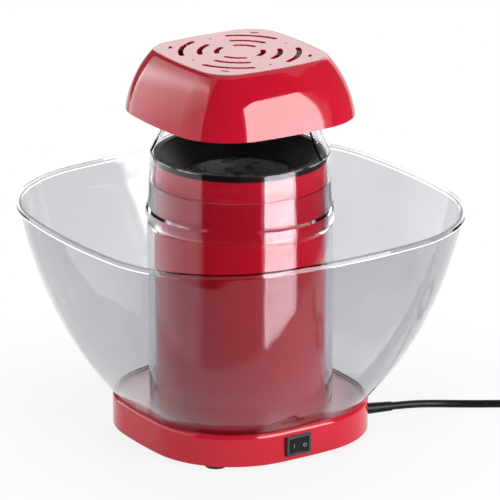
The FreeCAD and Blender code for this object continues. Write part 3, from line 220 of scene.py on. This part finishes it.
FINISHES = {
    red_abs: ["base_housing", "tower_casing", "lid_cap"],
    bowl_san: ["bowl"],
    chute_pc: ["chute_sleeve"],
    black_pp: ["chamber_collar", "bottom_cover", "coil_tie"],
    frame_pa: ["switch_housing"],
    rocker_pc: ["switch_rocker"],
    cord_pvc: ["cord_gland", "plug_body", "power_cord", "cord_coil"],
    foot_rubber: ["rubber_feet"],
    drawn_alu: ["popping_chamber"],
    mill_alu: ["heater_duct", "thermal_fuse"],
    zinc_steel: ["cover_screws", "tower_screws", "motor", "motor_screws", "motor_shaft"],
    heater_alloy: ["heater_coil"],
    mica_board: ["heater_former"],
    paper_board: ["rectifier_board"],
    phenolic: ["thermostat"],
    nylon: ["fan_shroud", "fan_impeller"],
    plated_brass: ["switch_terminals", "plug_pins"],
}
for finish, names in FINISHES.items():
    for name in names:
        nodes[name].data.materials.clear()
        nodes[name].data.materials.append(finish)


# Mains lead: one smooth line from the gland along the floor into a tied coil that ends in the plug.
# Lengths in millimetres, apart from the whole lead's in metres

CORD_RADIUS = 3.0
EXIT_WALL = (85.80, -40.05, 7.4)
EXIT_WAY = (0.9563, -0.2924)
GLAND_LENGTH = 22.0
LEAD_OUT = 15.0
LEAD_IN = 26.0
FLOOR_ROUTE = [(139.5, -52.4, 4.6), (157.5, -60.2, 3.1), (172.8, -70.4, 3.1), (189.5, -81.4, 3.3)]
COIL_CENTRE = (254.6, -75.1)
COIL_START = math.radians(237.0)
COIL_MIDDLE = 33.0
COIL_STEP = 7.6
COIL_LIFT = 4.3
COIL_LAYER = 6.5
COIL_TAIL = 44.0
TURNS_IN = 2.0
CLIMB = 0.5
TURNS_OUT = 1.5
POINTS_A_TURN = 24
LEAD_ROUNDNESS = 6
LEAD_SMOOTHNESS = 6
LEAD_ORDER = 3
TINY_TURN = 0.001


def coil_point(turn):
    """A point of the coil, which winds in, climbs a layer in half a turn and winds out."""
    climb = min(max((turn - TURNS_IN) / CLIMB, 0.0), 1.0)
    outward = max(turn - TURNS_IN - CLIMB, 0.0)
    radius = COIL_MIDDLE + COIL_STEP * (1 - min(turn, TURNS_IN) + outward)
    angle = COIL_START + 2 * math.pi * turn
    rise = COIL_LAYER * (1 - math.cos(math.pi * climb)) / 2
    return Vector((COIL_CENTRE[0] + radius * math.cos(angle), COIL_CENTRE[1] + radius * math.sin(angle),
                   COIL_LIFT + rise))


def exit_point(reach):
    return Vector((EXIT_WALL[0] + EXIT_WAY[0] * reach, EXIT_WALL[1] + EXIT_WAY[1] * reach, EXIT_WALL[2]))


def make_lead():
    turns = TURNS_IN + CLIMB + TURNS_OUT
    steps = round(turns * POINTS_A_TURN)
    coil = [coil_point(turns * i / steps) for i in range(steps + 1)]
    way_in = (coil_point(TINY_TURN) - coil[0]).normalized()
    way_out = (coil[-1] - coil_point(turns - TINY_TURN)).normalized()
    route = [exit_point(GLAND_LENGTH), exit_point(GLAND_LENGTH + LEAD_OUT)]
    route += [Vector(p) for p in FLOOR_ROUTE] + [coil[0] - way_in * LEAD_IN] + coil
    route += [coil[-1] + way_out * COIL_TAIL]
    curve = bpy.data.curves.new("mains_lead", "CURVE")
    curve.dimensions = "3D"
    curve.bevel_depth = CORD_RADIUS * MM
    curve.bevel_resolution = LEAD_ROUNDNESS
    curve.use_fill_caps = True
    line = curve.splines.new("NURBS")
    line.points.add(len(route) - 1)
    for point, place in zip(line.points, route):
        point.co = (*(place * MM), 1.0)
    line.order_u = LEAD_ORDER
    line.use_endpoint_u = True
    line.resolution_u = LEAD_SMOOTHNESS
    lead = bpy.data.objects.new("mains_lead", curve)
    scene.collection.objects.link(lead)
    curve.materials.append(cord_pvc)
    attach(lead, "base")
    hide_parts("power_cord", "cord_coil")
    # The put-away coil lies out of view, so the bowl's wall doesn't mirror it either
    for piece in (lead, nodes["coil_tie"], nodes["plug_body"], nodes["plug_pins"]):
        piece.visible_glossy = False


make_lead()


# Switch signs: a bar and a ring printed on the two halves of the rocker. Lengths in millimetres

SIGN_HEIGHT = 2.8
SIGN_STROKE = 0.55
INK = 0.04
SIGN_ASIDE = 4.2
RING_POINTS = 28
AHEAD = 10.0


def rocker_front():
    low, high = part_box("switch_rocker")
    return low, high, BVHTree.FromObject(nodes["switch_rocker"], bpy.context.evaluated_depsgraph_get())


def print_sign(name, flat):
    """Lays a flat mesh, drawn in millimetres round the rocker's middle, on the rocker's face."""
    low, high, face = rocker_front()
    middle = (low + high) / 2
    mesh = bpy.data.meshes.new(name)
    for vertex in flat.verts:
        start = Vector((middle.x + vertex.co.x * MM, low.y - AHEAD * MM, middle.z + vertex.co.y * MM))
        hit = face.ray_cast(start, Vector((0, 1, 0)))[0]
        vertex.co = hit - Vector((0, INK * MM, 0))
    flat.to_mesh(mesh)
    flat.free()
    mesh.materials.append(grey_ink)
    sign = bpy.data.objects.new(name, mesh)
    scene.collection.objects.link(sign)
    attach(sign, "rocker")


def make_signs():
    bar = bmesh.new()
    bar.faces.new([bar.verts.new((x * SIGN_STROKE / 2 - SIGN_ASIDE, y * SIGN_HEIGHT / 2, 0))
                   for x, y in CORNERS])
    print_sign("sign_bar", bar)
    ring = bmesh.new()
    angles = [2 * math.pi * i / RING_POINTS for i in range(RING_POINTS)]
    rings = []
    for radius in (SIGN_HEIGHT / 2, SIGN_HEIGHT / 2 - SIGN_STROKE):
        rings.append([ring.verts.new((SIGN_ASIDE + radius * math.cos(angle), radius * math.sin(angle), 0))
                      for angle in angles])
    for i in range(RING_POINTS):
        j = (i + 1) % RING_POINTS
        ring.faces.new((rings[0][i], rings[0][j], rings[1][j], rings[1][i]))
    print_sign("sign_ring", ring)


make_signs()


# Studio: a round white table in a white room, soft lamps, and bright cards and dark flags for the gloss.
# Lengths in metres

TABLE_RADIUS = 0.36
TABLE_ASIDE = 0.07
TABLE_BACK = 0.09
TABLE_POINTS = 96
FADE_START = 0.14
FADE_END = 0.30
FADE_LEAST = 0.85
ONE_BOUNCE = 0.5
ROOM_LIGHT = 0.25


def work_out(tree, operation, first, second):
    """One sum of two outputs, or of an output and a number."""
    made = add(tree, "ShaderNodeMath", {"operation": operation})
    tree.links.new(first, made.inputs[0])
    if isinstance(second, float):
        made.inputs[1].default_value = second
    else:
        tree.links.new(second, made.inputs[1])
    return made.outputs["Value"]


def seen_share(tree):
    """1 where the eye, a reflection or a clear wall looks, 0 for the light that falls on things."""
    path = add(tree, "ShaderNodeLightPath", {}).outputs
    seen = work_out(tree, "MAXIMUM", path["Is Camera Ray"], path["Is Glossy Ray"])
    seen = work_out(tree, "MAXIMUM", seen, path["Is Transmission Ray"])
    return work_out(tree, "MULTIPLY", seen, work_out(tree, "LESS_THAN", path["Diffuse Depth"], ONE_BOUNCE))


def gloss_share(tree):
    """1 for what a gloss shows, also through clear walls, and 0 for the eye."""
    path = add(tree, "ShaderNodeLightPath", {}).outputs
    return work_out(tree, "MULTIPLY", work_out(tree, "GREATER_THAN", path["Glossy Depth"], ONE_BOUNCE),
                    work_out(tree, "LESS_THAN", path["Diffuse Depth"], ONE_BOUNCE))


def mix(tree, share, plain, shown):
    both = add(tree, "ShaderNodeMixShader", {}, Fac=share)
    tree.links.new(plain, both.inputs[1])
    tree.links.new(shown, both.inputs[2])
    return both.outputs["Shader"]


def stage_material(name):
    made = bpy.data.materials.new(name)
    made.use_nodes = True
    made.node_tree.nodes.clear()
    return made, made.node_tree


def table_material():
    """White card that keeps the machine's shadow and fades into the white room towards its edge."""
    made, tree = stage_material("card_white")
    place = add(tree, "ShaderNodeTexCoord", {})
    reach = add(tree, "ShaderNodeVectorMath", {"operation": "LENGTH"}, Vector=place.outputs["Object"])
    fade = add(tree, "ShaderNodeMapRange",
               {"From Min": FADE_START, "From Max": FADE_END, "To Min": FADE_LEAST, "To Max": 1.0},
               Value=reach.outputs["Value"])
    share = work_out(tree, "MULTIPLY", seen_share(tree), fade.outputs["Result"])
    card = add(tree, "ShaderNodeBsdfDiffuse", {"Color": colour("#f4f4f4")})
    white = add(tree, "ShaderNodeEmission", {"Color": colour(WHITE), "Strength": 1.0})
    add(tree, "ShaderNodeOutputMaterial", {},
        Surface=mix(tree, share, card.outputs["BSDF"], white.outputs["Emission"]))
    return made


def make_room():
    """White to the eye, dim to the surfaces that it lights."""
    room = bpy.data.worlds.new("room")
    room.use_nodes = True
    tree = room.node_tree
    tree.nodes.clear()
    dim = add(tree, "ShaderNodeBackground", {"Color": colour(WHITE), "Strength": ROOM_LIGHT})
    white = add(tree, "ShaderNodeBackground", {"Color": colour(WHITE), "Strength": 1.0})
    add(tree, "ShaderNodeOutputWorld", {},
        Surface=mix(tree, seen_share(tree), dim.outputs["Background"], white.outputs["Background"]))
    scene.world = room


def stand(made, turn_deg, distance, height):
    """Stands a thing in the studio, turned to the right of the camera's line and facing the machine."""
    turn = math.radians(turn_deg)
    scene.collection.objects.link(made)
    axis = Vector((0, 0, height))
    made.location = (to_camera * math.cos(turn) + across * math.sin(turn)) * distance + axis
    made.rotation_euler = (axis - made.location).to_track_quat("-Z", "Y").to_euler()
    made.visible_camera = False


def soft_box(name, turn_deg, distance, height, side, strength):
    """A square soft lamp that lights the machine with a strength, where 1 shows colours as they are."""
    lamp = bpy.data.lights.new(name, "AREA")
    lamp.size = side
    lamp.energy = strength * (math.pi * distance) ** 2
    made = bpy.data.objects.new(name, lamp)
    stand(made, turn_deg, distance, height)
    made.visible_glossy = False
    made.visible_transmission = False


def gloss_card(name, turn_deg, distance, height, width, tall, glow, roll_deg=0.0, shares=()):
    """A card that only the gloss of the surfaces shows: bright, or a dark flag where its glow is near 0.

    Shares, if any, say how much of the glow each level has, from 0 at the card's foot to 1 at its head.
    """
    material, tree = stage_material(name)
    clear = add(tree, "ShaderNodeBsdfTransparent", {})
    bright = add(tree, "ShaderNodeEmission", {"Color": colour(WHITE), "Strength": glow})
    if shares:
        place = add(tree, "ShaderNodeTexCoord", {})
        axes = add(tree, "ShaderNodeSeparateXYZ", {}, Vector=place.outputs["Object"])
        level = add(tree, "ShaderNodeMapRange", {"From Min": -tall / 2, "From Max": tall / 2},
                    Value=axes.outputs["Y"])
        ramp = add(tree, "ShaderNodeValToRGB", {}, Fac=level.outputs["Result"])
        stops = ramp.color_ramp.elements
        stops.remove(stops[1])
        for number, (at, share) in enumerate(shares):
            stop = stops[0] if number == 0 else stops.new(at)
            stop.position = at
            stop.color = (share, share, share, 1.0)
        tree.links.new(ramp.outputs["Color"], bright.inputs["Color"])
    add(tree, "ShaderNodeOutputMaterial", {},
        Surface=mix(tree, gloss_share(tree), clear.outputs["BSDF"], bright.outputs["Emission"]))
    material.cycles.emission_sampling = "NONE"
    made = bmesh.new()
    made.faces.new([made.verts.new((x * width / 2, y * tall / 2, 0)) for x, y in CORNERS])
    mesh = bpy.data.meshes.new(name)
    made.to_mesh(mesh)
    made.free()
    mesh.materials.append(material)
    card = bpy.data.objects.new(name, mesh)
    stand(card, turn_deg, distance, height)
    card.rotation_euler = (card.rotation_euler.to_quaternion()
                           @ Quaternion((0, 0, 1), math.radians(roll_deg))).to_euler()
    card.visible_diffuse = False
    card.visible_shadow = False


def make_table():
    made = bmesh.new()
    bmesh.ops.create_circle(made, cap_ends=True, radius=TABLE_RADIUS, segments=TABLE_POINTS)
    bmesh.ops.translate(made, verts=made.verts, vec=across * TABLE_ASIDE - to_camera * TABLE_BACK)
    mesh = bpy.data.meshes.new("table")
    made.to_mesh(mesh)
    made.free()
    mesh.materials.append(table_material())
    table = bpy.data.objects.new("table", mesh)
    scene.collection.objects.link(table)


# Turn from the camera's line in degrees, distance, height, side and strength
LAMPS = {
    "key": (60, 1.8, 0.6, 1.4, 1.35),
    "fill": (-58, 1.8, 0.6, 1.4, 0.62),
    "back_fill": (170, 1.8, 0.7, 1.4, 0.75),
}
# The left card is brightest along a band just above its middle and dark towards its head; its roll in
# degrees slants the band
LEFT_ROLL = 35
LEFT_SHARES = ((0.0, 0.27), (0.333, 0.27), (0.405, 0.44), (0.476, 0.57), (0.524, 1.0), (0.548, 0.83),
               (0.583, 0.41), (0.643, 0.13), (0.69, 0.05), (1.0, 0.006))
# Turn, distance, height, width, tallness and glow, and for a shaded card its roll and shares
CARDS = {
    "flag_front": (-11, 1.3, 1.05, 2.0, 4.0, 0.04),
    "flag_right": (109, 1.4, 0.35, 1.8, 2.6, 0.15),
    "flag_high": (45, 1.65, 2.4, 2.6, 2.2, 0.04),
    "card_right": (52, 1.6, 0.28, 1.24, 2.0, 15.0),
    "card_left": (-97, 1.5, 1.1, 3.2, 4.2, 6.3, LEFT_ROLL, LEFT_SHARES),
    "flag_left": (-148, 1.4, 0.95, 0.75, 1.7, 0.2),
    "card_back": (180, 1.7, 0.95, 2.2, 0.9, 2.6),
}

make_table()
for name, settings in LAMPS.items():
    soft_box(name, *settings)
for name, settings in CARDS.items():
    gloss_card(name, *settings)
make_room()
scene.view_settings.view_transform = "Standard"
